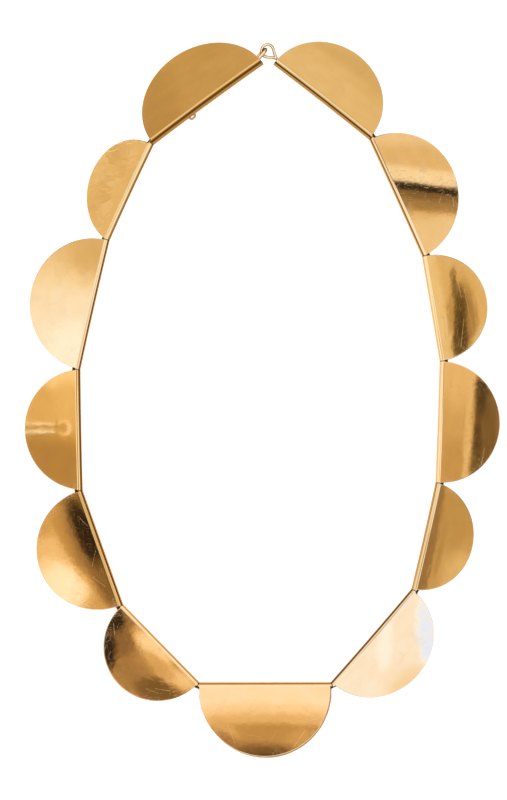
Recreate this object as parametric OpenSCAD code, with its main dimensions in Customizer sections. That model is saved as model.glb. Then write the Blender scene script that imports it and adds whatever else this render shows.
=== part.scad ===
// Half-moon gold necklace, lying as it rests on a table.
// Thirteen sheets, each folded double into a half-moon, hang together by small flat links
// that run round a hidden post near each corner. A hook and a drop-shaped ring close it.
// X points right, Y away and Z up. The table is z = 0.

/* [Half-moons] */
// Length of the straight edge of a small half-moon
small_edge = 28.2; // [27.7:0.1:28.6]
// Length of the straight edge of a middle half-moon
middle_edge = 31.9; // [31.4:0.1:32.3]
// Length of the straight edge of a large half-moon
large_edge = 35.1; // [34.6:0.1:35.5]
// Thickness of the gold sheet
sheet_t = 0.3; // [0.26:0.01:0.32]
// Outer radius of the fold along the straight edge
fold_r = 0.9; // [0.88:0.01:0.92]

/* [Links and posts] */
// Diameter of the hidden posts
post_d = 0.45; // [0.4:0.01:0.46]
// Distance of a post from its corner, along the straight edge
post_inset = 1.1; // [1.07:0.01:1.13]
// Distance of a link's post from the straight edge
link_out = 0.8; // [0.76:0.01:0.84]
// Distance of a clasp's post from the straight edge
clasp_out = 1.1; // [1.05:0.01:1.15]
// Thickness of the flat links
link_t = 0.3; // [0.25:0.01:0.32]
// Width of the flat links
link_w = 1.2; // [1.15:0.01:1.25]
// Distance between the outer ends of a link's two slots, to the middle of a post there
link_span = 3.65; // [3.6:0.01:3.7]
// Travel of a post in its slot
link_slot = 0.55; // [0.5:0.01:0.6]
// Play between a post and the slot round it
slot_play = 0.14; // [0.13:0.01:0.15]
// Play between a post and the clasp's eye round it
play = 0.1; // [0.09:0.01:0.11]
// Gap between neighbouring folds at their inner corners
corner_gap = 0.12; // [0.12:0.01:0.2]

/* [Clasp] */
// Diameter of the hook wire
hook_wire = 0.9; // [0.8:0.05:0.9]
// Radius of the hook's bend, to the middle of the wire
hook_bend_r = 1.3; // [1.26:0.01:1.34]
// Turn of the hook round its post, away from the line of the fold
hook_turn = 15; // [14:1:16]
// Lean of the hook's bend away from straight down
hook_roll = 12; // [10:1:13]
// Length of hook past the ring wire, before the bend
hook_reach = 0.1; // [0:0.05:0.2]
// Length of the hook's tip behind its bend
hook_tip = 1.6; // [1.2:0.1:1.6]
// Diameter of the ring wire
ring_wire = 0.8; // [0.7:0.05:0.8]
// Radius of the ring's round end, to the middle of the wire
ring_r = 1.65; // [1.61:0.01:1.69]
// Distance from the ring's neck to the centre of its round end
ring_neck = 3.0; // [2.96:0.01:3.04]
// Diameter of the bead at the ring's neck
neck_bead = 1.0; // [0.9:0.05:1]
// Place of the hook on the ring, as an angle from the ring's far end
ring_seat = 64; // [62:1:66]
// Wire of the small safety eye
eye_wire = 0.6; // [0.5:0.05:0.6]
// Radius of the safety eye, to the middle of its wire
eye_r = 0.85; // [0.8:0.05:1]
// Distance of the safety eye from the clasp
eye_place = 23.2; // [20:0.1:26]

/* [Hidden] */

$fn = 64;

// The row from the hook round to the ring, counterclockwise seen from above.
// edge: length of the straight edge, one of the sizes and what this one differs from it
// heading: its direction in plan, in degrees from +X
// set: how far out of the fold the centre of the arc lies
// rise: how far the fold's far end lies above a fold that lies flat
EDGE = 0; HEADING = 1; SET = 2; RISE = 3;
row = [
    [large_edge + 0.6,  -143.7, -0.6, 10.7],
    [small_edge - 0.4,  -115.0, -0.9,  5.7],
    [large_edge - 0.5,  -102.8, -0.5,  4.6],
    [middle_edge - 0.4,  -89.0, -1.6,  2.9],
    [middle_edge + 0.1,  -70.6,  0.6,  0.0],
    [small_edge + 0.3,   -45.6,  0.4,  0.0],
    [large_edge - 0.2,     0.4,  1.3,  5.6],
    [middle_edge + 0.2,   49.2,  0.2,  6.8],
    [small_edge + 0.4,    77.1, -1.3,  3.8],
    [middle_edge - 0.1,   88.0, -0.1,  3.1],
    [small_edge - 0.4,    99.6,  0.2,  2.6],
    [large_edge - 1.3,   114.6, -0.5,  7.4],
    [middle_edge,        141.8,  0.0,  5.8]];
last = len(row) - 1;
// Rise of the first fold's near end, at the hook
first_rise = 9.0;
// Where the first fold starts, from the middle of the necklace
start_at = [-0.28, 88.47];

fold_in = fold_r - sheet_t;
// Thickness and radius of the flat eyes that hold the hook and the ring
tang_t = 0.6;
tang_r = 0.95;
// Lean of the safety eye from the fold's middle towards its back
eye_lean = 35;
// The ring's straight wire is a touch thinner than its bent wire, and laps into it
side_wire = ring_wire - 0.04;
lap = 0.1;
// How far a cutting body runs past what it cuts
over = 1;
// How far the arc passes outside a half-moon's corners, which are cut square
arc_past = 0.02;
colour = "goldenrod";

function unit(v) = v / norm(v);
function rise_before(i) = i == 0 ? first_rise : row[i - 1][RISE];
function slope(i) = (row[i][RISE] - rise_before(i)) / row[i][EDGE];
function moon_r(edge, set) = norm([edge / 2, set]) + arc_past;

// Direction of a straight edge, and level direction out of the necklace at right angles to it
function along(i) =
    let (flat = sqrt(1 - pow(slope(i), 2)), h = row[i][HEADING])
    [flat * cos(h), flat * sin(h), slope(i)];
function level_out(i) = [sin(row[i][HEADING]), -cos(row[i][HEADING]), 0];

// Sine of the dip at which a half-moon's arc just meets the table
function dip(i) =
    let (r = moon_r(row[i][EDGE], row[i][SET]), c = row[i][SET], z = (row[i][RISE] + rise_before(i)) / 2,
         k = r * r - c * c, b = z * c)
    max(0, sqrt(max(0, b * b + k * (z * z - pow(r * slope(i), 2)))) - b) / k;

// Direction from the fold to the arc, and the face's own upward normal
function outward(i) =
    let (o = level_out(i), d = cross(along(i), o), s = dip(i) / sqrt(1 - pow(slope(i), 2)))
    sqrt(1 - s * s) * o + s * d;
function face_up(i) = cross(outward(i), along(i));

// Gap that keeps two folds' inner corners apart, and the middle direction between two edges
function gap_after(i) =
    corner_gap + 2 * fold_r * sin((row[i + 1][HEADING] - row[i][HEADING]) / 2);
function heading_after(i) = (row[i][HEADING] + row[i + 1][HEADING]) / 2;

// Near and far ends of each fold's axis
function near_end(i) =
    i == 0 ? [start_at[0], start_at[1], fold_r + first_rise]
           : far_end(i - 1) + gap_after(i - 1)
             * [cos(heading_after(i - 1)), sin(heading_after(i - 1)), 0];
function far_end(i) = near_end(i) + row[i][EDGE] * along(i);

// Distances of the two posts of a half-moon from its straight edge, and their middles
function near_out(i) = i == 0 ? clasp_out : link_out;
function far_out(i) = i == last ? clasp_out : link_out;
function near_post(i) = near_end(i) + post_inset * along(i) + near_out(i) * outward(i);
function far_post(i) = far_end(i) - post_inset * along(i) + far_out(i) * outward(i);

// The clasp. The ring wire passes the hook between its shank and its tip.
hook_dir = sin(hook_turn) * outward(0) - cos(hook_turn) * along(0);
hook_side = unit(cross([0, 0, 1], hook_dir));
hook_down = unit(cross(hook_dir, hook_side)) * -cos(hook_roll) + hook_side * sin(hook_roll);
// The ring's neck, from the last fold's end: past it, and out from it
neck_out = 0.55;
neck_across = 0.95;
neck = far_end(last) + neck_out * along(last) + neck_across * outward(last);
seat = [ring_neck + ring_r * cos(ring_seat), ring_r * sin(ring_seat)];
// Length of shank from its post at which the seat is as far from the neck as on the ring
from_neck = near_post(0) + hook_bend_r * hook_down - neck;
half_b = from_neck * hook_dir;
seat_at = -half_b - sqrt(half_b * half_b - from_neck * from_neck + seat * seat);
seat_point = near_post(0) + seat_at * hook_dir + hook_bend_r * hook_down;
shank = seat_at + hook_reach;

// The ring's plane holds its neck and the seat, and lies as level as it can
to_seat = unit(seat_point - neck);
ring_up = unit(cross(cross(to_seat, [0, 0, 1]), to_seat));
ring_turn = atan2(seat[1], seat[0]);
ring_axis = cos(ring_turn) * to_seat - sin(ring_turn) * cross(ring_up, to_seat);

// Puts its children with their X and Z along two directions at right angles
module place(at, x_dir, z_dir) {
    y_dir = cross(z_dir, x_dir);
    multmatrix([
        [x_dir[0], y_dir[0], z_dir[0], at[0]],
        [x_dir[1], y_dir[1], z_dir[1], at[1]],
        [x_dir[2], y_dir[2], z_dir[2], at[2]],
        [0, 0, 0, 1]])
        children();
}

// Section of the folded sheet: two flat walls and the round fold between them
module fold_section(depth) {
    for (side = [-1, 1])
        translate([-depth, side * (fold_r - sheet_t / 2) - sheet_t / 2])
            square([depth, sheet_t]);
    intersection() {
        difference() {
            circle(fold_r);
            circle(fold_in);
        }
        translate([0, -fold_r])
            square([fold_r, 2 * fold_r]);
    }
}

// Outline of a half-moon seen square on, with its fold
module moon_outline(edge, set) {
    r = moon_r(edge, set);
    intersection() {
        translate([edge / 2, -set])
            circle(r);
        translate([0, -2 * r])
            square([edge, 2 * r]);
    }
    translate([0, -lap])
        square([edge, lap + fold_r + over]);
}

// Post between the two walls
module post() {
    cylinder(d = post_d, h = 2 * fold_r - sheet_t, center = true);
}

// A half-moon with its near corner at the origin and its fold along X
module half_moon(edge, set, near, far) {
    intersection() {
        translate([-over, 0, 0])
            rotate([90, 0, 90])
                linear_extrude(edge + 2 * over)
                    fold_section(edge);
        translate([0, 0, -fold_r - over])
            linear_extrude(2 * (fold_r + over))
                moon_outline(edge, set);
    }
    translate([post_inset, -near, 0])
        post();
    translate([edge - post_inset, -far, 0])
        post();
}

// Small wire eye soldered to the back of the first fold
module safety_eye() {
    translate([eye_place, 0, 0])
        rotate([-eye_lean, 0, 0])
            translate([0, fold_r - sheet_t / 2, 0])
                rotate_extrude(angle = 180)
                    translate([eye_r, 0])
                        circle(d = eye_wire);
}

module plate(i) {
    color(colour)
        place(near_end(i), along(i), face_up(i)) {
            half_moon(row[i][EDGE], row[i][SET], near_out(i), far_out(i));
            if (i == 0)
                safety_eye();
        }
}

// A flat link along X, about the origin, with a slot for a post at each end
module flat_link() {
    linear_extrude(link_t, center = true)
        difference() {
            union() {
                square([link_span, link_w], center = true);
                for (side = [-1, 1])
                    translate([side * link_span / 2, 0])
                        circle(d = link_w);
            }
            for (side = [-1, 1])
                translate([side * (link_span - link_slot) / 2, 0]) {
                    square([link_slot, post_d + 2 * slot_play], center = true);
                    for (end = [-1, 1])
                        translate([end * link_slot / 2, 0])
                            circle(d = post_d + 2 * slot_play);
                }
        }
}

// The link between half-moon i and the next one
module link(i) {
    from = far_post(i);
    to = near_post(i + 1);
    x_dir = unit(to - from);
    mean_up = face_up(i) + face_up(i + 1);
    color(colour)
        place((from + to) / 2, x_dir, unit(mean_up - (mean_up * x_dir) * x_dir))
            flat_link();
}

// Flat eye round a post, at the inner end of the hook and of the ring
module tang() {
    cylinder(r = tang_r, h = tang_t, center = true);
}
module tang_hole() {
    cylinder(d = post_d + 2 * play, h = 2 * fold_r, center = true);
}

module clasp_hook() {
    color(colour)
        place(near_post(0), along(0), face_up(0))
            difference() {
                tang();
                tang_hole();
            }
    color(colour)
        place(near_post(0), hook_dir, -hook_down) {
            translate([tang_r - lap, 0, 0])
                rotate([0, 90, 0])
                    cylinder(d = hook_wire, h = shank - tang_r + lap);
            translate([shank, 0, -hook_bend_r])
                rotate([90, 0, 0])
                    rotate([0, 0, -90])
                        rotate_extrude(angle = 180)
                            translate([hook_bend_r, 0])
                                circle(d = hook_wire);
            translate([shank - hook_tip, 0, -2 * hook_bend_r])
                rotate([0, 90, 0])
                    cylinder(d = hook_wire, h = hook_tip);
            translate([shank - hook_tip, 0, -2 * hook_bend_r])
                sphere(d = hook_wire);
        }
}

// The drop-shaped ring with its neck at the origin and its axis along X
module drop_ring() {
    spread = asin(ring_r / ring_neck);
    side_l = ring_neck * cos(spread);
    for (side = [-1, 1])
        rotate([0, 0, side * spread])
            rotate([0, 90, 0])
                cylinder(d = side_wire, h = side_l + lap);
    translate([ring_neck, 0, 0])
        rotate([0, 0, -90 - spread])
            rotate_extrude(angle = 180 + 2 * spread)
                translate([ring_r, 0])
                    circle(d = ring_wire);
    sphere(d = neck_bead);
}

module clasp_ring() {
    post_at = far_post(last);
    wire_dir = unit(neck - post_at);
    neck_l = norm(neck - post_at);
    color(colour)
        place(post_at, along(last), face_up(last))
            difference() {
                tang();
                tang_hole();
            }
    color(colour)
        place(post_at, wire_dir, face_up(last))
            translate([tang_r - lap, 0, 0])
                rotate([0, 90, 0])
                    cylinder(d = side_wire, h = neck_l - tang_r + lap);
    color(colour)
        place(neck, ring_axis, ring_up)
            drop_ring();
}

plate(0);  // plate_01
plate(1);  // plate_02
plate(2);  // plate_03
plate(3);  // plate_04
plate(4);  // plate_05
plate(5);  // plate_06
plate(6);  // plate_07
plate(7);  // plate_08
plate(8);  // plate_09
plate(9);  // plate_10
plate(10);  // plate_11
plate(11);  // plate_12
plate(12);  // plate_13
link(0);  // link_01
link(1);  // link_02
link(2);  // link_03
link(3);  // link_04
link(4);  // link_05
link(5);  // link_06
link(6);  // link_07
link(7);  // link_08
link(8);  // link_09
link(9);  // link_10
link(10);  // link_11
link(11);  // link_12
clasp_hook();
clasp_ring();
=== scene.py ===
"""A gold necklace of thirteen folded half-moons, dressed and lit for a studio picture."""

import math

import bmesh
import bpy
from bpy.props import FloatProperty, FloatVectorProperty, IntProperty, PointerProperty
from bpy.types import Operator, Panel, PropertyGroup
from mathutils import Matrix, Vector


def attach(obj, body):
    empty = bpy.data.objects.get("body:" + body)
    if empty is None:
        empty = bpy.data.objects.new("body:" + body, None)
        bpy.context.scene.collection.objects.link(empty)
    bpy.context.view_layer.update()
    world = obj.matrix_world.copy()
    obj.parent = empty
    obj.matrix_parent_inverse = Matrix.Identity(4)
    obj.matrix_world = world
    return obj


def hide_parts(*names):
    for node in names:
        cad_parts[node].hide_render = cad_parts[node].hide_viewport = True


bl_info = {
    "name": "Half-moon necklace",
    "version": (1, 0, 0),
    "blender": (4, 5, 0),
    "location": "View3D > Sidebar > Necklace",
    "description": "Makes the gold half-moons, their links and clasp, and the studio round them",
    "category": "Add Mesh",
}

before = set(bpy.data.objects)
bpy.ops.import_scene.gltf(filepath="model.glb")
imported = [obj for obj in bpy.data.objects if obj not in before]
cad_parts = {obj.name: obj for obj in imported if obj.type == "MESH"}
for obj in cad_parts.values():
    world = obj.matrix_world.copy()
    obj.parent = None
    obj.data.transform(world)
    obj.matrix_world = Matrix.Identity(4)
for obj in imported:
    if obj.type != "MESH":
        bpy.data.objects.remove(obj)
BODY = "root"
MM = 0.001
WHITE = (1.0, 1.0, 1.0, 1.0)

# The row from the hook round to the ring, counterclockwise seen from above, in millimetres and
# degrees: length of the straight edge, its heading in plan, how far out of the fold the centre
# of the arc lies, and how far the fold's far end lies above a fold that lies flat. They come
# from a least-squares fit of the half-moons' outlines to the photo, rounded to 0.1. Then the
# edges were lengthened by up to 0.35 and some rises were changed by up to 0.4.
ROW = (
    (35.7, -143.7, -0.6, 10.7),
    (27.8, -115.0, -0.9, 5.7),
    (34.6, -102.8, -0.5, 4.6),
    (31.5, -89.0, -1.6, 2.9),
    (32.0, -70.6, 0.6, 0.0),
    (28.5, -45.6, 0.4, 0.0),
    (34.9, 0.4, 1.3, 5.6),
    (32.1, 49.2, 0.2, 6.8),
    (28.6, 77.1, -1.3, 3.8),
    (31.8, 88.0, -0.1, 3.1),
    (27.8, 99.6, 0.2, 2.6),
    (33.8, 114.6, -0.5, 7.4),
    (31.9, 141.8, 0.0, 5.8),
)
# How far the fold of the first half-moon starts above one that lies flat, and the place in plan
# where it starts, at the hook
FIRST_RISE = 9.0
START_AT = (-0.28, 88.47)
# How far the arc passes outside a half-moon's corners, which are cut square
ARC_PAST = 0.02
# Gap that is seen between neighbouring folds, which are mitred to meet, and how far out of the
# fold the mitre runs
SEAM = 0.03
MITRE = 0.3
# Widths of the strips of faces beside the fold and along the arc, which keep the wall's shading
# flat up to them
FOLD_STRIP = 0.1
ARC_STRIP = 0.15
# Distances below which a point counts as lying on a line, and below which two points are one
ON_LINE = 0.001
WELD = 0.0005
# Angle in degrees above which an edge stays sharp
SHARP = 50
# Room round a half-moon in the lattice that bows it, and the lattice's points each way
CAGE_ROOM = 24
CAGE_POINTS = (9, 9, 2)
# Bevel of a post's ends
POST_BEVEL = 0.03
# Solder at the safety eye's feet: its radius in wire diameters, its flatness, and how far it
# lies from the eye's cut ends
SOLDER = 0.6
SOLDER_FLAT = 0.75
SOLDER_OUT = 0.08

# How far from the fold each face starts to turn into it, in millimetres
EASE = (0.7, 0.2, 0.3, 0.3, 0.6, 0.3, 0.4, 0.2, 0.3, 0.2, 0.2, 0.2, 0.5)
# Turn that the face gains there, in radians for each millimetre
EASE_TURN = 0.12

# How wavy each face is, as the height of its waves in thousandths of a millimetre, and how worn
WAVES = (5, 5, 6, 2, 5, 6, 5, 5, 4, 4, 5, 2, 4)
WORN = (0.35, 0.3, 0.4, 0.4, 1.0, 1.0, 0.8, 0.3, 0.6, 0.8, 0.9, 0.9, 0.3)
# The one half-moon whose sheet is rippled, counted from 0, with the height of its ripples in the
# same unit, the turn of their length from the fold in degrees and their width as against it
RIPPLED = 1
RIPPLES = 11.0
RIPPLE_TURN = 52
RIPPLE_WIDTH = 0.5
# Depths of fine wear and of long scratches, in the same unit, and what they add to the roughness
WEAR_DEPTH = 0.4
MARK_DEPTH = 0.5
WEAR_DULLS = 0.02
MARK_DULLS = 0.08
# Directions of the fine hairlines in degrees, each with a shift of its pattern
HAIRLINES = ((18, 0.0), (64, 31.0), (121, 57.0))
# Shares of painted shade at the fold's ends, where neighbours meet, and along the arc's rim, and
# of tarnished gold in faint stains
END_SHADE = 0.85
RIM_SHADE = 0.65
STAIN_TARNISH = 0.07
# What a stain adds to the roughness
STAIN_DULLS = 0.04

# How the gold of each half-moon differs from the rest: shares of its red and of its blue,
# adjusted to its mean colours in the photo
HUES = (
    (1.0, 1.0), (1.0, 0.98), (0.99, 1.02), (1.08, 0.8), (1.08, 0.88), (1.07, 0.95), (1.07, 0.97),
    (0.98, 1.12), (1.0, 1.0), (1.04, 0.98), (1.0, 0.93), (1.0, 1.02), (0.97, 1.02),
)

# Long scratches of each half-moon, counted from 0, each from one place to another. Places are
# along the fold, from -1 at the hook's end to 1, and across it, from 0 at the fold to 1.
SCRATCHES = {
    0: ((-0.60, 0.62, -0.50, 0.66), (-0.10, 0.66, 0.02, 0.72), (-0.02, 0.72, 0.0, 0.62)),
    4: ((-0.62, 0.15, -0.42, 0.06), (0.02, 0.08, 0.22, 0.20), (0.40, 0.26, 0.62, 0.12),
        (-0.20, 0.88, 0.05, 0.95), (0.62, 0.66, 0.84, 0.46)),
    5: ((0.02, 0.62, 0.32, 0.54), (0.06, 0.55, 0.38, 0.50), (0.52, 0.58, 0.74, 0.42),
        (0.40, 0.70, 0.62, 0.60), (0.45, 0.45, 0.66, 0.30), (-0.88, 0.30, -0.72, 0.42)),
    6: ((-0.56, 0.55, -0.46, 0.80), (0.44, 0.86, 0.62, 0.62), (-0.30, 0.68, -0.05, 0.71),
        (0.05, 0.80, 0.20, 0.62), (0.62, 0.50, 0.80, 0.46)),
    8: ((-0.36, 0.28, -0.16, 0.25), (0.38, 0.34, 0.62, 0.30), (0.0, 0.20, 0.28, 0.16),
        (-0.70, 0.14, -0.50, 0.17)),
    9: ((-0.10, 0.36, 0.25, 0.38), (0.60, 0.50, 0.76, 0.53), (-0.66, 0.70, -0.40, 0.74)),
    10: ((-0.55, 0.63, 0.28, 0.60), (-0.42, 0.72, 0.12, 0.76), (-0.66, 0.10, -0.20, 0.13),
         (-0.80, 0.36, -0.30, 0.50), (0.10, 0.52, 0.55, 0.50)),
    11: ((-0.52, 0.76, -0.40, 0.80), (-0.36, 0.56, -0.30, 0.62), (-0.20, 0.36, -0.16, 0.40)),
}

# How each face is bowed: turn of its normal for each millimetre along the fold and across it,
# in thousandths, and the place across it where the normal is as the flat half-moon's
BOWS = (
    (2.0, 4.0, 8.0),
    (2.0, 4.0, 8.0),
    (2.2, 3.5, 8.0),
    (2.4, 3.5, 7.0),
    (2.4, 4.0, 8.0),
    (2.6, 4.5, 7.0),
    (2.2, 4.0, 9.0),
    (2.2, 4.0, 8.0),
    (2.4, 4.0, 6.0),
    (2.2, 4.5, 4.0),
    (2.4, 4.5, 14.5),
    (2.2, 4.0, 1.5),
    (2.2, 4.0, 7.5),
)

# How far each back wall stands out past the front wall's rim, along the fold and across it, in
# millimetres
SLIPS = (
    (0.1, 0.1),
    (0.0, 0.1),
    (0.5, 0.1),
    (0.0, 0.0),
    (0.3, 0.1),
    (0.0, 0.2),
    (0.0, 0.6),
    (0.0, 0.5),
    (-0.6, 0.2),
    (0.6, 0.3),
    (-0.6, 0.2),
    (0.0, 0.2),
    (0.0, 0.1),
)

# How brightly each fold is painted round its curve, as painted highlight and painted shade in the
# gold's colour that stand for the reflections along the fold: pairs of the angle from the
# half-moon's face, in degrees, and the share of the gold that is painted bright there rather than
# dark. The shares were adjusted to the brightness measured across each fold in the photo, at steps
# of 6 degrees.
PAINTED_FOLD_SHINE = (
    ((-33, 0.88), (-5, 0.88), (0, 0.65), (6, 0.45), (12, 0.27), (18, 0.15), (27, 0.1),
     (36, 0.12), (48, 0.22), (60, 0.36), (72, 0.58), (90, 0.66)),
    ((0, 1.0), (12, 0.9), (24, 0.9), (48, 1.0), (54, 0.85), (60, 0.64), (66, 0.47), (75, 0.39),
     (84, 0.43), (108, 0.53)),
    ((0, 0.8), (4, 1.0), (36, 1.0), (42, 0.7), (48, 0.3), (54, 0.18), (60, 0.14), (66, 0.22),
     (72, 0.4), (80, 0.62), (90, 0.66)),
    ((0, 0.35), (8.5, 0.35), (13.6, 1.0), (30.5, 1.0), (37, 0.45), (54, 0.3), (66, 0.24),
     (75, 0.25), (90, 0.4)),
    ((-38, 0.85), (-28, 0.7), (-12, 0.62), (0, 0.85), (6, 0.85), (12, 0.75), (18, 0.55),
     (24, 0.3), (30, 0.15), (42, 0.2), (48, 0.35), (54, 0.6), (60, 0.77), (84, 0.72)),
    ((0, 1.0), (48, 0.95), (54, 0.86), (60, 0.81), (72, 0.72), (84, 0.69)),
    ((0, 1.0), (8, 1.0), (14, 0.78), (20, 0.62), (36, 0.27), (42, 0.38), (48, 0.68), (54, 1.0),
     (66, 1.0), (84, 0.87)),
    ((0, 1.0), (30, 1.0), (42, 0.85), (50, 0.75), (54, 0.78), (60, 0.71), (66, 0.55),
     (72, 0.4), (78, 0.25), (90, 0.225), (108, 0.32)),
    ((0, 0.9), (36, 0.85), (54, 0.88), (66, 0.85), (78, 0.75), (90, 0.64), (108, 0.55)),
    ((0, 1.0), (90, 1.0)),
    ((0, 1.0), (90, 1.0)),
    ((0, 1.0), (25, 1.0), (31, 0.9), (38, 0.35), (54, 0.2), (60, 0.39), (66, 0.82), (72, 1.0)),
    ((-30, 0.9), (-8, 0.9), (0, 1.0), (6, 0.85), (12, 0.65), (18, 0.43), (24, 0.19),
     (30, 0.09), (36, 0.08), (42, 0.14), (48, 0.26), (54, 0.46), (60, 0.68), (84, 0.66)),
)
# The painted tone at the back of every fold, and the angle at which its face ends and the fold's
# own painted shine begins
BACK_SHINE = (150, 0.65)
# The painted shade round the fold takes blue most and red least: powers of the share of bright
# gold
PAINTED_SHADE_WARMTH = (1.0, 1.4, 2.4)
FACE_END = -45

# Colour of the room's light at each brightness that gold shows, from dark wood to white paper.
# It was adjusted to the mean colours of dark, middle and bright gold in the photo.
ROOM_LIGHT = (
    (0.05, (0.02, 0.018, 0.02)),
    (0.165, (0.058, 0.052, 0.054)),
    (0.337, (0.24, 0.21, 0.125)),
    (0.41, (0.39, 0.32, 0.23)),
    (0.565, (0.71, 0.63, 0.39)),
    (0.70, (1.0, 1.0, 0.84)),
    (0.816, (1.23, 1.42, 1.68)),
    (0.886, (1.3, 1.71, 2.75)),
    (0.945, (1.3, 1.98, 3.6)),
    (1.0, (1.06, 1.85, 4.85)),
)
# Strength of the light to which that table's largest share belongs
BRIGHTEST = 5.0

# Brightness of the room's walls and how much brighter they are to the left, brightness overhead,
# and how much small things in the room vary it
WALLS = 0.62
WALLS_LEFT = 0.18
OVERHEAD = 0.9
CLUTTER = 0.08
# Height of a direction between which the walls pass into what is overhead
OVERHEAD_FROM = (0.1, 0.75)
# Where the edge of what one half-moon mirrors fades: past its arc, as squares of shares of its
# radius, and behind its fold, as shares of its depth
PAST_ARC = (1.2, 1.08)
BEHIND_FOLD = (-0.18, -0.08)

# Lamps and dark flags round the room, seen by the sides of the necklace: direction in plan and
# height above the floor in degrees, half width in degrees and brightness
ROOM_PANELS = (
    (25, 18, 17, 0.28),
    (145, 20, 15, 0.32),
    (262, 16, 18, 0.25),
    (85, 38, 16, 0.96),
    (205, 34, 14, 0.95),
    (318, 36, 15, 0.96),
)
# Half width of the soft edge of each, in degrees
PANEL_EDGE = 5
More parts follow.
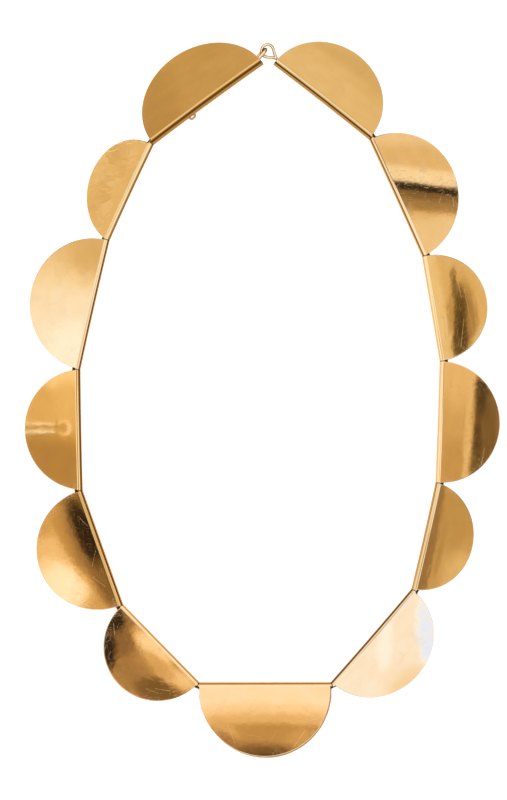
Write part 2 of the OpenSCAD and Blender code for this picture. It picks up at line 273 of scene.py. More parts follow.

# What each half-moon mirrors in the photographer's room. First the brightness of the wall there,
# then the panels and flags in front of it, from back to front: each with its brightness, the
# middle of its mirror image and its half sizes, turn in degrees and softness. Places and sizes
# are along the fold, from -1 at the hook's end to 1, and across it, from 0 at the fold to 1.
# The panels were set one by one and adjusted to tones measured on the faces in the photo.
MIRRORED = (
    (0.575, (0.54, 1.2, 0.4, 0.8, 2.0, 10, 0.35), (0.585, -0.4, 0.25, 0.5, 0.25, 0, 0.8)),
    (0.70, (0.66, -0.5, 0.7, 0.16, 0.2, 25, 0.5), (0.74, 0.05, 0.62, 0.07, 0.3, -20, 0.5),
     (0.66, 0.25, 0.5, 0.12, 0.22, 30, 0.5), (0.74, 0.5, 0.3, 0.16, 0.12, 20, 0.5),
     (0.67, -0.3, 0.3, 0.14, 0.1, -20, 0.5), (0.73, -0.62, 0.25, 0.12, 0.1, 20, 0.5),
     (0.67, 0.65, 0.6, 0.1, 0.2, 0, 0.5), (0.73, -0.2, 0.85, 0.14, 0.1, 30, 0.5)),
    (0.68, (0.80, 0.15, 1.2, 0.9, 0.8, 0, 0.5), (0.87, 0.75, 0.4, 0.97, 1.4, -28, 0.3),
     (0.93, 0.9, 0.1, 0.55, 0.6, 0, 0.5)),
    (0.66, (0.50, 1.05, 0.5, 0.95, 2.0, 10, 0.25), (0.80, -1.0, 0.2, 0.3, 0.5, 0, 0.5),
     (0.70, -0.45, 0.2, 0.3, 0.2, 0, 0.7), (0.84, -0.035, 0.25, 0.13, 0.13, 0, 0.2),
     (0.60, -0.035, 0.27, 0.092, 0.09, 0, 0.3), (0.52, -0.035, 0.39, 0.12, 0.03, 0, 0.4),
     (0.86, -0.10, 0.75, 0.026, 0.36, 0, 0.3), (0.50, -0.06, 0.75, 0.02, 0.36, 0, 0.3),
     (0.90, 0.03, 0.75, 0.026, 0.36, 0, 0.3), (0.46, 0.075, 0.75, 0.02, 0.36, 0, 0.3)),
    (0.67, (0.73, -0.2, 0.9, 0.5, 0.3, 0, 0.6), (0.91, 0.40, 0.72, 0.40, 0.26, -20, 0.6),
     (0.60, -0.7, 0.75, 0.2, 0.3, 0, 0.6), (0.55, -0.3, 0.45, 0.5, 0.09, -6, 0.6),
     (0.60, 1.05, 0.3, 0.3, 0.3, 0, 0.5), (0.40, -0.2, 0.05, 1.15, 0.33, -4, 0.35),
     (0.12, -0.22, 0.10, 0.62, 0.16, -6, 0.4), (0.36, 0.55, 0.08, 0.34, 0.14, 0, 0.6)),
    (0.53, (0.46, 0.0, 0.75, 0.4, 0.25, 0, 0.7), (0.34, 0.62, 0.58, 0.42, 0.22, -20, 0.4),
     (0.38, -0.62, 0.42, 0.35, 0.4, 30, 0.3), (0.10, -0.66, 0.80, 0.42, 0.22, 42, 0.4),
     (0.12, -0.95, 0.25, 0.2, 0.2, 20, 0.5), (0.82, -0.06, 0.10, 0.42, 0.17, 0, 0.5),
     (0.76, 0.66, 0.17, 0.36, 0.13, -20, 0.5), (0.62, 0.28, 0.25, 0.3, 0.1, 0, 0.6)),
    (0.86, (0.79, 0, 1.3, 3.0, 1.03, 0, 0.10), (0.69, 0, 1.3, 3.0, 0.90, 0, 0.07),
     (0.54, 0, 1.3, 3.0, 0.76, 0, 0.06), (0.64, -0.6, 0.64, 0.18, 0.10, 20, 0.6),
     (0.60, 0.5, 0.74, 0.16, 0.1, -20, 0.6), (0.44, -0.6, 0.8, 0.2, 0.1, 30, 0.6),
     (0.32, -0.02, 1.1, 0.75, 0.25, 0, 0.3), (0.16, -0.1, 1.04, 0.4, 0.06, 0, 0.6)),
    (0.89, (0.83, -0.3, 0.97, 0.4, 0.22, 10, 0.6), (0.99, 0.62, 0.62, 0.52, 0.15, -48, 0.5),
     (0.94, 0.02, 0.22, 0.36, 0.11, -38, 0.6), (0.90, -0.8, 0.4, 0.25, 0.4, 0, 0.7)),
    (0.60, (0.56, 0.6, 0.5, 0.6, 0.5, 0, 0.6), (0.43, 0, -0.3, 3.0, 0.5, -3, 0.08),
     (0.68, -0.6, 0.85, 0.4, 0.3, 0, 0.6), (0.52, -0.2, 0.32, 0.4, 0.05, 0, 0.6)),
    (0.62, (0.70, 0.85, 0.25, 0.5, 0.3, 0, 0.6), (0.57, -0.7, 0.2, 0.4, 0.2, 0, 0.6),
     (0.70, 0.3, 0.46, 3.0, 0.045, 2, 0.5), (0.34, 0, 0.84, 3.0, 0.30, 4, 0.10),
     (0.22, 0.55, 0.66, 0.4, 0.10, 3, 0.4), (0.24, -0.3, 0.62, 0.3, 0.06, 0, 0.6),
     (0.40, 0.1, 1.0, 0.6, 0.06, 0, 0.6)),
    (0.68, (0.75, 0.2, 0.08, 1.5, 0.12, 0, 0.6), (0.48, -0.40, 0.58, 0.7, 0.18, 4, 0.5),
     (0.28, -0.55, 0.42, 0.85, 0.14, 9, 0.25), (0.22, -0.45, 0.46, 0.3, 0.05, 8, 0.5),
     (0.37, 0.32, 0.45, 0.3, 0.05, 6, 0.6), (0.56, -0.1, 0.30, 0.3, 0.05, 8, 0.6),
     (0.76, -0.7, 0.78, 0.2, 0.1, 30, 0.6)),
    (0.70, (0.76, 0.82, 0.4, 0.2, 2.0, 27, 0.4), (0.70, 0.28, 0.55, 0.3, 2.0, 27, 0.3),
     (0.83, 0.05, 0.55, 0.14, 2.0, 31, 0.35), (0.76, -0.85, 0.4, 0.25, 2.0, 20, 0.5),
     (0.46, -0.32, 0.55, 0.19, 2.0, 29, 0.25), (0.37, -0.24, 0.55, 0.08, 2.0, 30, 0.4),
     (0.03, -0.135, 0.55, 0.055, 2.0, 32, 0.4)),
    (0.69, (0.66, 0.1, 1.0, 1.5, 0.4, 0, 0.6), (0.72, 0.1, 0.25, 0.8, 0.3, 0, 0.8)),
)


# The floor: its radius in metres, how far it lies below the necklace, and how the gold sees it,
# as shares of its colour and of its glow
FLOOR_RADIUS = 1.5
FLOOR_DROP = 0.02 * MM
FLOOR_IN_GOLD = 1.3
GLOW_IN_GOLD = 0.5


class NecklaceSizes(PropertyGroup):
    """Sizes of the half-moons and of the camera's place."""

    sheet: FloatProperty(
        name="Sheet", description="Thickness of the gold sheet",
        default=0.3 * MM, min=0.0, unit="LENGTH", precision=5)
    fold: FloatProperty(
        name="Fold", description="Outer radius of the fold along the straight edge",
        default=0.9 * MM, min=0.0, unit="LENGTH", precision=5)
    corner_gap: FloatProperty(
        name="Corner gap", description="Gap between neighbouring folds at their inner corners",
        default=0.12 * MM, min=0.0, unit="LENGTH", precision=5)
    post: FloatProperty(
        name="Post", description="Diameter of the posts inside the corners",
        default=0.45 * MM, min=0.0, unit="LENGTH", precision=5)
    post_inset: FloatProperty(
        name="Post inset", description="Distance of a post from its corner, along the fold",
        default=1.1 * MM, min=0.0, unit="LENGTH", precision=5)
    link_out: FloatProperty(
        name="Link out", description="Distance of a link's post from the straight edge",
        default=0.8 * MM, min=0.0, unit="LENGTH", precision=5)
    clasp_out: FloatProperty(
        name="Clasp out", description="Distance of a clasp's post from the straight edge",
        default=1.1 * MM, min=0.0, unit="LENGTH", precision=5)
    rim: FloatProperty(
        name="Rim", description="Radius to which the sheet's cut edges are eased",
        default=0.06 * MM, min=0.0, unit="LENGTH", precision=5)
    eye_wire: FloatProperty(
        name="Eye wire", description="Diameter of the safety eye's wire",
        default=0.6 * MM, min=0.0, unit="LENGTH", precision=5)
    eye_radius: FloatProperty(
        name="Eye radius", description="Radius of the safety eye to the middle of its wire",
        default=0.85 * MM, min=0.0, unit="LENGTH", precision=5)
    eye_place: FloatProperty(
        name="Eye place", description="Distance of the safety eye from the clasp",
        default=23.2 * MM, min=0.0, unit="LENGTH", precision=5)
    eye_lean: FloatProperty(
        name="Eye lean", description="Lean of the safety eye towards the back of the fold",
        default=math.radians(35), subtype="ANGLE")
    arc_steps: IntProperty(
        name="Arc steps", description="Segments along a half-moon's arc", default=64, min=8)
    rings: IntProperty(
        name="Rings", description="Rings of faces between arc and fold", default=14, min=3)
    fold_steps: IntProperty(
        name="Fold steps", description="Segments round the fold", default=24, min=4)


class GoldFinish(PropertyGroup):
    """Colours and polish of the gold."""

    sheet_gold: FloatVectorProperty(
        name="Sheet gold", description="Colour of the polished sheet", subtype="COLOR",
        size=3, default=(0.776, 0.445, 0.168), min=0.0, max=1.0)
    wire_gold: FloatVectorProperty(
        name="Wire gold", description="Colour of the links and the clasp", subtype="COLOR",
        size=3, default=(0.80, 0.46, 0.18), min=0.0, max=1.0)
    # Colour of tarnished gold, also used for painted shade at the folds' ends, along the arcs'
    # rims and on the links
    tarnish: FloatVectorProperty(
        name="Tarnish", description="Colour of gold that no finger rubs", subtype="COLOR",
        size=3, default=(0.05, 0.018, 0.005), min=0.0, max=1.0)
    edge_gold: FloatVectorProperty(
        name="Edge gold", description="Colour of the gold where it is seen at a low angle",
        subtype="COLOR", size=3, default=(0.8, 0.55, 0.3), min=0.0, max=1.0)
    polish: FloatProperty(
        name="Polish", description="Roughness of the polished faces", default=0.03,
        min=0.0, max=1.0, subtype="FACTOR")


class StudioLight(PropertyGroup):
    """Camera, floor and light of the studio."""

    aim: FloatVectorProperty(
        name="Aim", description="Point of the necklace's plane in the middle of the picture",
        subtype="TRANSLATION", size=3, default=(-2.41 * MM, -0.16 * MM, 6.0 * MM))
    camera_height: FloatProperty(
        name="Camera height", description="Height of the camera above that plane",
        default=2.4, min=0.1, unit="LENGTH")
    picture_height: FloatProperty(
        name="Picture height", description="Length of the necklace's plane that the picture shows",
        default=209.84 * MM, min=0.01, unit="LENGTH", precision=4)
    soft_light: FloatProperty(
        name="Soft light", description="Strength of the even light on the floor",
        default=1.5, min=0.0)
    floor_glow: FloatProperty(
        name="Floor glow", description="Light that the floor, a lit table, gives by itself",
        default=0.65, min=0.0)
    floor_colour: FloatVectorProperty(
        name="Floor", description="Colour of the floor", subtype="COLOR",
        size=3, default=(0.5, 0.5, 0.5), min=0.0, max=1.0)


class HalfMoon:
    """Where one half-moon lies, worked out along the row as its neighbours meet."""

    def __init__(self, index, sizes):
        self.index = index
        self.name = "plate_%02d" % (index + 1)
        self.edge, heading, self.set, rise = ROW[index]
        fold = sizes.fold / MM
        before = ROW[index - 1][3] if index else FIRST_RISE
        slope = (rise - before) / self.edge
        flat = math.sqrt(1 - slope**2)
        angle = math.radians(heading)
        self.along = Vector((flat * math.cos(angle), flat * math.sin(angle), slope))
        level = Vector((math.sin(angle), -math.cos(angle), 0))
        self.arc = math.hypot(self.edge / 2, self.set) + ARC_PAST
        self.depth = self.arc + self.set
        middle = (rise + before) / 2
        k = self.arc**2 - self.set**2
        b = middle * self.set
        root = math.sqrt(max(0, b * b + k * (middle**2 - (self.arc * slope) ** 2)))
        dip = max(0, root - b) / k / flat
        self.outward = math.sqrt(1 - dip**2) * level + dip * self.along.cross(level)
        self.up = self.outward.cross(self.along)
        if index == 0:
            self.start = Vector((START_AT[0], START_AT[1], fold + FIRST_RISE))
        else:
            last = HalfMoon(index - 1, sizes)
            turn = math.radians(heading - ROW[index - 1][1])
            toward = math.radians((heading + ROW[index - 1][1]) / 2)
            gap = sizes.corner_gap / MM + 2 * fold * math.sin(turn / 2)
            self.start = last.end + gap * Vector((math.cos(toward), math.sin(toward), 0))
        self.end = self.start + self.edge * self.along
        self.seams = [(0.0, 0.0, 0.0), (self.edge, 0.0, 0.0)]

    def place(self):
        """Matrix from the half-moon's own millimetres to the necklace's metres."""
        inward = -self.outward
        turn = Matrix((self.along, inward, self.up)).transposed().to_4x4()
        return Matrix.Translation(self.start * MM) @ turn @ Matrix.Scale(MM, 4)

    def meet(self, sizes):
        """Works out the planes in which the fold meets its neighbours' folds: for each, its
        place along the fold and what is added to that for each millimetre inward and up."""
        for side in (0, 1):
            if 0 <= self.index - 1 + 2 * side < len(ROW):
                other = HalfMoon(self.index - 1 + 2 * side, sizes)
                spot = (self.end + other.start) / 2 if side else (self.start + other.end) / 2
                across = (self.along + other.along).normalized()
                ahead = across.dot(self.along)
                self.seams[side] = (
                    (across.dot(spot - self.start) + (SEAM / 2, -SEAM / 2)[side]) / ahead,
                    across.dot(self.outward) / ahead, -across.dot(self.up) / ahead)

    def to_camera(self, light):
        """Direction from the middle of the face to the camera."""
        middle = self.start + self.edge / 2 * self.along + 0.4 * self.depth * self.outward
        camera = Vector(light.aim) + Vector((0, 0, light.camera_height))
        return (camera - middle * MM).normalized()

    def slip(self, y):
        """Shift of the back wall past the front one, at a distance from the fold."""
        along, across = SLIPS[self.index]
        share = max(0, -y) / self.depth
        return Vector((along * share, -across * share, 0))

    def bow(self, x, y):
        """Rise of the bowed face over the flat one, at a place of the half-moon."""
        along, across, level = BOWS[self.index]
        from_middle = x - self.edge / 2
        out = -y
        lift = -0.5 * along * MM * (from_middle**2 - (self.edge / 2) ** 2)
        return lift - 0.5 * across * MM * ((out - level) ** 2 - level**2)


def to_object_mode():
    if bpy.context.mode != "OBJECT":
        bpy.ops.object.mode_set(mode="OBJECT")
    bpy.ops.object.select_all(action="DESELECT")


def only(piece):
    """Selects one piece alone."""
    to_object_mode()
    piece.select_set(True)
    bpy.context.view_layer.objects.active = piece


def pick(piece, kind, test):
    """In edit mode, selects the vertices, edges or faces whose points all pass a test."""
    bpy.ops.mesh.select_mode(type=kind)
    bpy.ops.mesh.select_all(action="DESELECT")
    mesh = bmesh.from_edit_mesh(piece.data)
    parts = {"VERT": mesh.verts, "EDGE": mesh.edges, "FACE": mesh.faces}[kind]
    for part in parts:
        points = [part.co] if kind == "VERT" else [v.co for v in part.verts]
        if all(test(p) for p in points):
            part.select_set(True)
    bmesh.update_edit_mesh(piece.data)


def apply_modifier(piece, kind, **settings):
    """Adds a modifier with its settings to a piece and applies it."""
    only(piece)
    modifier = piece.modifiers.new(kind.title(), kind)
    for name, value in settings.items():
        setattr(modifier, name, value)
    bpy.ops.object.modifier_apply(modifier=modifier.name)


def join(pieces):
    """Joins pieces into the first."""
    only(pieces[0])
    for piece in pieces[1:]:
        piece.select_set(True)
    bpy.ops.object.join()
    return pieces[0]


def set_in_place(piece, matrix):
    """Moves a piece and works its place into its mesh."""
    only(piece)
    piece.matrix_world = matrix
    bpy.ops.object.transform_apply(location=True, rotation=True, scale=True)


def half_moon_wall(moon, sizes):
    """Models one flat wall of a half-moon about its fold: rings of faces from arc to fold."""
    edge, arc = moon.edge, moon.arc
    corner = -moon.set - math.sqrt(arc**2 - (edge / 2) ** 2)
    bpy.ops.mesh.primitive_plane_add(size=-corner, location=(-corner / 2, corner / 2, 0))
    wall = bpy.context.object
    bpy.ops.object.transform_apply(location=True)
    bpy.ops.object.mode_set(mode="EDIT")
    pick(wall, "VERT", lambda p: p.x > -corner / 2)
    bpy.ops.mesh.delete(type="VERT")
    pick(wall, "VERT", lambda p: p.y < corner / 2)
    sweep = 2 * math.atan2(edge / 2, -corner - moon.set)
    bpy.ops.mesh.spin(
        steps=sizes.arc_steps, angle=-sweep, center=(edge / 2, -moon.set, 0), axis=(0, 0, 1))
    pick(wall, "VERT", lambda p: p.x > edge - ON_LINE and p.y < corner / 2)
    bpy.ops.mesh.extrude_vertices_move(TRANSFORM_OT_translate={"value": (0, -corner, 0)})
    pick(wall, "VERT", lambda p: p.y > -ON_LINE)
    bpy.ops.transform.translate(value=(0, -FOLD_STRIP, 0))
    bpy.ops.mesh.select_all(action="SELECT")
    middle = (edge / 2, -FOLD_STRIP, 0)
    near_rim = 1 - ARC_STRIP / arc
    reach = [1, near_rim] + [1 - ring / sizes.rings for ring in range(1, sizes.rings)]
    for outer, inner in zip(reach, reach[1:]):
        step = inner / outer
        bpy.ops.mesh.extrude_edges_move()
        bpy.ops.transform.resize(value=(step, step, 1), center_override=middle)
    bpy.ops.mesh.extrude_edges_move()
    bpy.ops.transform.resize(value=(0, 0, 1), center_override=middle)
    bpy.ops.mesh.select_all(action="SELECT")
    bpy.ops.mesh.remove_doubles(threshold=WELD)
    pick(wall, "EDGE", lambda p: abs(p.y + FOLD_STRIP) < ON_LINE)
    bpy.ops.mesh.extrude_edges_move(TRANSFORM_OT_translate={"value": (0, FOLD_STRIP, 0)})
    bpy.ops.mesh.select_all(action="SELECT")
    return wall


def folded_sheet(moon, sizes, outside, inside):
    """Folds a wall round to a second one behind it, bows both and gives them their thickness
    and the gold of their outside and inside."""
    fold = sizes.fold / MM
    wall = half_moon_wall(moon, sizes)
    wall.data.materials.append(outside)
    wall.data.materials.append(inside)
    bpy.ops.transform.translate(value=(0, 0, fold))
    bpy.ops.mesh.duplicate()
    bpy.ops.transform.resize(value=(1, 1, -1), center_override=(0, 0, 0))
    pick(wall, "EDGE", lambda p: abs(p.y) < ON_LINE and p.z > 0)
    bpy.ops.mesh.spin(
        steps=sizes.fold_steps, angle=math.pi, center=(0, 0, 0), axis=(1, 0, 0))
    bpy.ops.mesh.select_all(action="SELECT")
    bpy.ops.mesh.remove_doubles(threshold=WELD)
    bpy.ops.mesh.normals_make_consistent(inside=False)
    mesh = bmesh.from_edit_mesh(wall.data)
    mesh.faces.ensure_lookup_table()
    front = max(mesh.faces, key=lambda f: f.calc_center_median().z)
    if front.normal.z < 0:
        bpy.ops.mesh.flip_normals()
    mitre(wall, moon)
    to_object_mode()
    bow_sheet(wall, moon)
    apply_modifier(
        wall, "SOLIDIFY", thickness=sizes.sheet / MM, offset=-1.0, material_offset=1)
    apply_modifier(
        wall, "BEVEL", width=sizes.rim / MM, segments=2, limit_method="ANGLE",
        angle_limit=math.radians(SHARP))
    return wall


def mitre(sheet, moon):
    """In edit mode, draws the fold's two ends out to where it meets its neighbours."""
    mesh = bmesh.from_edit_mesh(sheet.data)
    for end, (seam, slant, lean) in zip((0, moon.edge), moon.seams):
        for side in [e for e in mesh.edges if all(abs(v.co.x - end) < ON_LINE for v in e.verts)]:
            near, far = sorted(side.verts, key=lambda v: -v.co.y)
            if near.co.y < -FOLD_STRIP / 2 and far.co.y < -MITRE:
                share = (near.co.y + MITRE) / (near.co.y - far.co.y)
                bmesh.utils.edge_split(side, near, share)
        for vert in mesh.verts:
            if abs(vert.co.x - end) < ON_LINE and vert.co.y > -FOLD_STRIP - ON_LINE:
                vert.co.x = seam + slant * vert.co.y + lean * vert.co.z
    bmesh.update_edit_mesh(sheet.data)


def bow_sheet(sheet, moon):
    """Bows a folded sheet a little, by a lattice round it."""
    bpy.ops.object.add(type="LATTICE", location=(moon.edge / 2, -moon.depth / 2, 0))
    cage = bpy.context.object
    cage.scale = (moon.edge + CAGE_ROOM, moon.depth + CAGE_ROOM, 4)
    cage.data.points_u, cage.data.points_v, cage.data.points_w = CAGE_POINTS
    bpy.context.view_layer.update()
    for point in cage.data.points:
        at = cage.matrix_world @ point.co
        shift = moon.slip(at.y) * (-1 if at.z > 0 else 1)
        point.co_deform.x += shift.x / cage.scale.x
        point.co_deform.y += shift.y / cage.scale.y
        point.co_deform.z += moon.bow(at.x, at.y) / cage.scale.z
    apply_modifier(sheet, "LATTICE", object=cage)
    only(cage)
    bpy.ops.object.delete()


def post(moon, x, out, sizes):
    """Models a post between the two walls near a corner."""
    height = 2 * sizes.fold / MM - sizes.sheet / MM
    to_object_mode()
    bpy.ops.mesh.primitive_cylinder_add(
        vertices=24, radius=sizes.post / MM / 2, depth=height,
        location=(x, -out, moon.bow(x, -out)))
    pin = bpy.context.object
    bpy.ops.object.transform_apply(location=True)
    apply_modifier(pin, "BEVEL", width=POST_BEVEL, segments=2, limit_method="ANGLE")
    return pin


def safety_eye(moon, sizes):
    """Models the small wire eye soldered to the back of the first fold."""
    place, radius, wire = sizes.eye_place / MM, sizes.eye_radius / MM, sizes.eye_wire / MM
    to_object_mode()
    bpy.ops.mesh.primitive_torus_add(
        major_segments=48, minor_segments=20, major_radius=radius, minor_radius=wire / 2)
    eye = bpy.context.object
    bpy.ops.object.mode_set(mode="EDIT")
    bpy.ops.mesh.select_all(action="SELECT")
    bpy.ops.mesh.bisect(
        plane_co=(0, 0, 0), plane_no=(0, 1, 0), use_fill=True, clear_inner=True)
    to_object_mode()
    feet = []
    for side in (-1, 1):
        bpy.ops.mesh.primitive_uv_sphere_add(
            segments=20, ring_count=12, radius=SOLDER * wire,
            location=(side * radius, SOLDER_OUT, 0), scale=(1.0, SOLDER_FLAT, 1.0))
        foot = bpy.context.object
        bpy.ops.object.transform_apply(location=True, scale=True)
        feet.append(foot)
    eye = join([eye] + feet)
    lean = Matrix.Rotation(-sizes.eye_lean, 4, "X")
    seat = Matrix.Translation((0, (sizes.fold - sizes.sheet / 2) / MM, 0))
    set_in_place(eye, Matrix.Translation((place, 0, moon.bow(place, 0))) @ lean @ seat)
    return eye


class NECKLACE_OT_half_moons(Operator):
    """Make the thirteen half-moons of folded gold sheet"""

    bl_idname = "necklace.half_moons"
    bl_label = "Half-moons"

    def execute(self, context):
        sizes = context.scene.necklace_sizes
        hidden = hidden_gold(context.scene.necklace_finish)
        for index in range(len(ROW)):
            moon = HalfMoon(index, sizes)
            moon.meet(sizes)
            to_object_mode()
            gold = sheet_gold(moon, context.scene.necklace_finish)
            sheet = folded_sheet(moon, sizes, gold, hidden)
            inset = sizes.post_inset / MM
            near = sizes.clasp_out if index == 0 else sizes.link_out
            far = sizes.clasp_out if index == len(ROW) - 1 else sizes.link_out
            parts = [sheet, post(moon, inset, near / MM, sizes),
                     post(moon, moon.edge - inset, far / MM, sizes)]
            for pin in parts[1:]:
                pin.data.materials.append(hidden)
            if index == 0:
                parts.append(safety_eye(moon, sizes))
                parts[-1].data.materials.append(gold)
            plate = join(parts)
            set_in_place(plate, moon.place())
            for vert in plate.data.vertices:
                vert.co.z = max(vert.co.z, 0.0)
            only(plate)
            bpy.ops.object.shade_smooth_by_angle(angle=math.radians(SHARP))
            plate.name = moon.name + "_gold"
            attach(plate, BODY)
            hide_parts(moon.name)
        return {"FINISHED"}


class Flow:
    """A value in a node tree. Sums, differences, products and quotients add Math nodes."""

    def __init__(self, tree, socket):
        self.tree = tree
        self.socket = socket

    def math(self, operation, *others, clamp=False):
        return self.tree.node(
            "ShaderNodeMath", {"operation": operation, "use_clamp": clamp}, self, *others)

    def __add__(self, other):
        return self.math("ADD", other)

    def __radd__(self, other):
        return self.math("ADD", other)

    def __sub__(self, other):
        return self.math("SUBTRACT", other)

    def __rsub__(self, other):
        return self.tree.node("ShaderNodeMath", {"operation": "SUBTRACT"}, other, self)

    def __mul__(self, other):
        return self.math("MULTIPLY", other)

    def __rmul__(self, other):
        return self.math("MULTIPLY", other)

    def __truediv__(self, other):
        return self.math("DIVIDE", other)

    def __rtruediv__(self, other):
        return self.tree.node("ShaderNodeMath", {"operation": "DIVIDE"}, other, self)


class NodeTree:
    """Builds a material's or the world's node tree."""

    def __init__(self, owner):
        owner.use_nodes = True
        self.tree = owner.node_tree
        self.tree.nodes.clear()

    def node(self, kind, settings, *values, out=0, named=None):
        """Adds a node of a kind, sets it up, feeds its sockets and returns an output."""
        made = self.tree.nodes.new(kind)
        for name, value in settings.items():
            if name == "stops":
                elements = made.color_ramp.elements
                elements[0].position, elements[0].color = value[0]
                elements[1].position, elements[1].color = value[-1]
                for place, colour in value[1:-1]:
                    elements.new(place).color = colour
            else:
                setattr(made, name, value)
        pairs = list(enumerate(values)) + list((named or {}).items())
        for key, value in pairs:
            socket = made.inputs[key]
            if isinstance(value, Flow):
                self.tree.links.new(value.socket, socket)
            else:
                socket.default_value = value
        return Flow(self, made.outputs[out]) if made.outputs else None

    def dot(self, vector, direction):
        return self.node(
            "ShaderNodeVectorMath", {"operation": "DOT_PRODUCT"}, vector, tuple(direction),
            out="Value")

    def smooth(self, value, low, high):
        """Rises smoothly from 0 to 1 as a value goes from low to high."""
        return self.node(
            "ShaderNodeMapRange", {"interpolation_type": "SMOOTHSTEP"}, value, low, high,
            0.0, 1.0)

    def mix_colour(self, factor, a, b, blend="MIX"):
        return self.node(
            "ShaderNodeMix", {"data_type": "RGBA", "blend_type": blend}, out=2,
            named={0: factor, 6: a, 7: b})

    def noise(self, at, scale, detail, roughness, dimensions="3D", distortion=0.0):
        return self.node(
            "ShaderNodeTexNoise", {"noise_dimensions": dimensions}, named={
                "Vector": at, "Scale": scale, "Detail": detail, "Roughness": roughness,
                "Distortion": distortion})

    def cloud(self, scale):
        """Soft random spots over a small piece of wire or an inner wall."""
        spot = self.node("ShaderNodeTexCoord", {}, out="Object")
        return self.noise(spot, scale, 3.0, 0.6)


def rgba(colour):
    return (colour[0], colour[1], colour[2], 1.0)


def in_the_sheet(tree, moon):
    """Place on a half-moon in millimetres: along the fold, out from it and up from its axis."""
    spot = tree.node("ShaderNodeTexCoord", {}, out="Object")
    place = tree.node(
        "ShaderNodeVectorMath", {"operation": "SUBTRACT"}, spot, tuple(moon.start * MM))
    place = tree.node("ShaderNodeVectorMath", {"operation": "SCALE"}, place, named={3: 1 / MM})
    return place, tree.dot(place, moon.along), tree.dot(place, moon.outward), tree.dot(
        place, moon.up)


def painted_fold_shine(tree, moon, x, out, rise):
    """Painted highlight and painted shade round the fold, as a tint of the gold, which is white on
    the flat walls.
    """
    from_middle = x - moon.edge / 2
    lift = (moon.edge**2 / 4 - from_middle * from_middle) * (0.5 * BOWS[moon.index][0] * MM)
    angle = (0 - out).math("ARCTAN2", rise - lift) * (180 / math.pi)
    span = 180 - FACE_END
    stops = [(0.0, WHITE)]
    if PAINTED_FOLD_SHINE[moon.index][0][0] >= 0:
        stops.append(((-1 - FACE_END) / span, WHITE))
    for place, share in PAINTED_FOLD_SHINE[moon.index] + (BACK_SHINE,):
        stops.append(((place - FACE_END) / span, rgba([share**power for power in PAINTED_SHADE_WARMTH])))
    return tree.node("ShaderNodeValToRGB", {"stops": stops}, (angle - FACE_END) * (1 / span))


def fine_scratches(tree, x, out):
    """Fine wear: short hairlines in a few directions, and a few tiny pits."""
    lines = 0
    for turn, seed in HAIRLINES:
        cos, sin = math.cos(math.radians(turn)), math.sin(math.radians(turn))
        at = tree.node(
            "ShaderNodeCombineXYZ", {}, (x * cos + out * sin) * 0.3 + seed,
            (out * cos - x * sin) * 5.0, 0.0)
        lines = tree.smooth(tree.noise(at, 1.0, 1.0, 0.5, "2D"), 0.70, 0.80) + lines
    at = tree.node("ShaderNodeCombineXYZ", {}, x, out, 0.0)
    pits = tree.node(
        "ShaderNodeTexVoronoi", {"voronoi_dimensions": "2D"}, out="Distance",
        named={"Vector": at, "Scale": 0.55})
    return lines + tree.smooth(pits, 0.07, 0.03)


def ripples(tree, x, out):
    """Short ripples across the sheet, as its rolling left them."""
    cos, sin = math.cos(math.radians(RIPPLE_TURN)), math.sin(math.radians(RIPPLE_TURN))
    at = tree.node(
        "ShaderNodeCombineXYZ", {}, (x * cos + out * sin) * RIPPLE_WIDTH, out * cos - x * sin, 0.0)
    return tree.noise(at, 0.5, 1.5, 0.5, "2D", distortion=0.9)


def long_scratches(tree, moon, x, out):
    """The scratches that are seen one by one."""
    lines = 0
    for from_u, from_v, to_u, to_v in SCRATCHES.get(moon.index, ()):
        start = Vector(((1 + from_u) * moon.edge / 2, from_v * moon.depth))
        end = Vector(((1 + to_u) * moon.edge / 2, to_v * moon.depth))
        way = (end - start).normalized()
        length = (end - start).length
        right, up = x - start.x, out - start.y
        along = right * way.x + up * way.y
        past = along - along.math("MINIMUM", length).math("MAXIMUM", 0.0)
        beside = up * way.x - right * way.y
        lines = tree.smooth(past * past * 0.05 + beside * beside, 0.004, 0.0005) + lines
    return lines


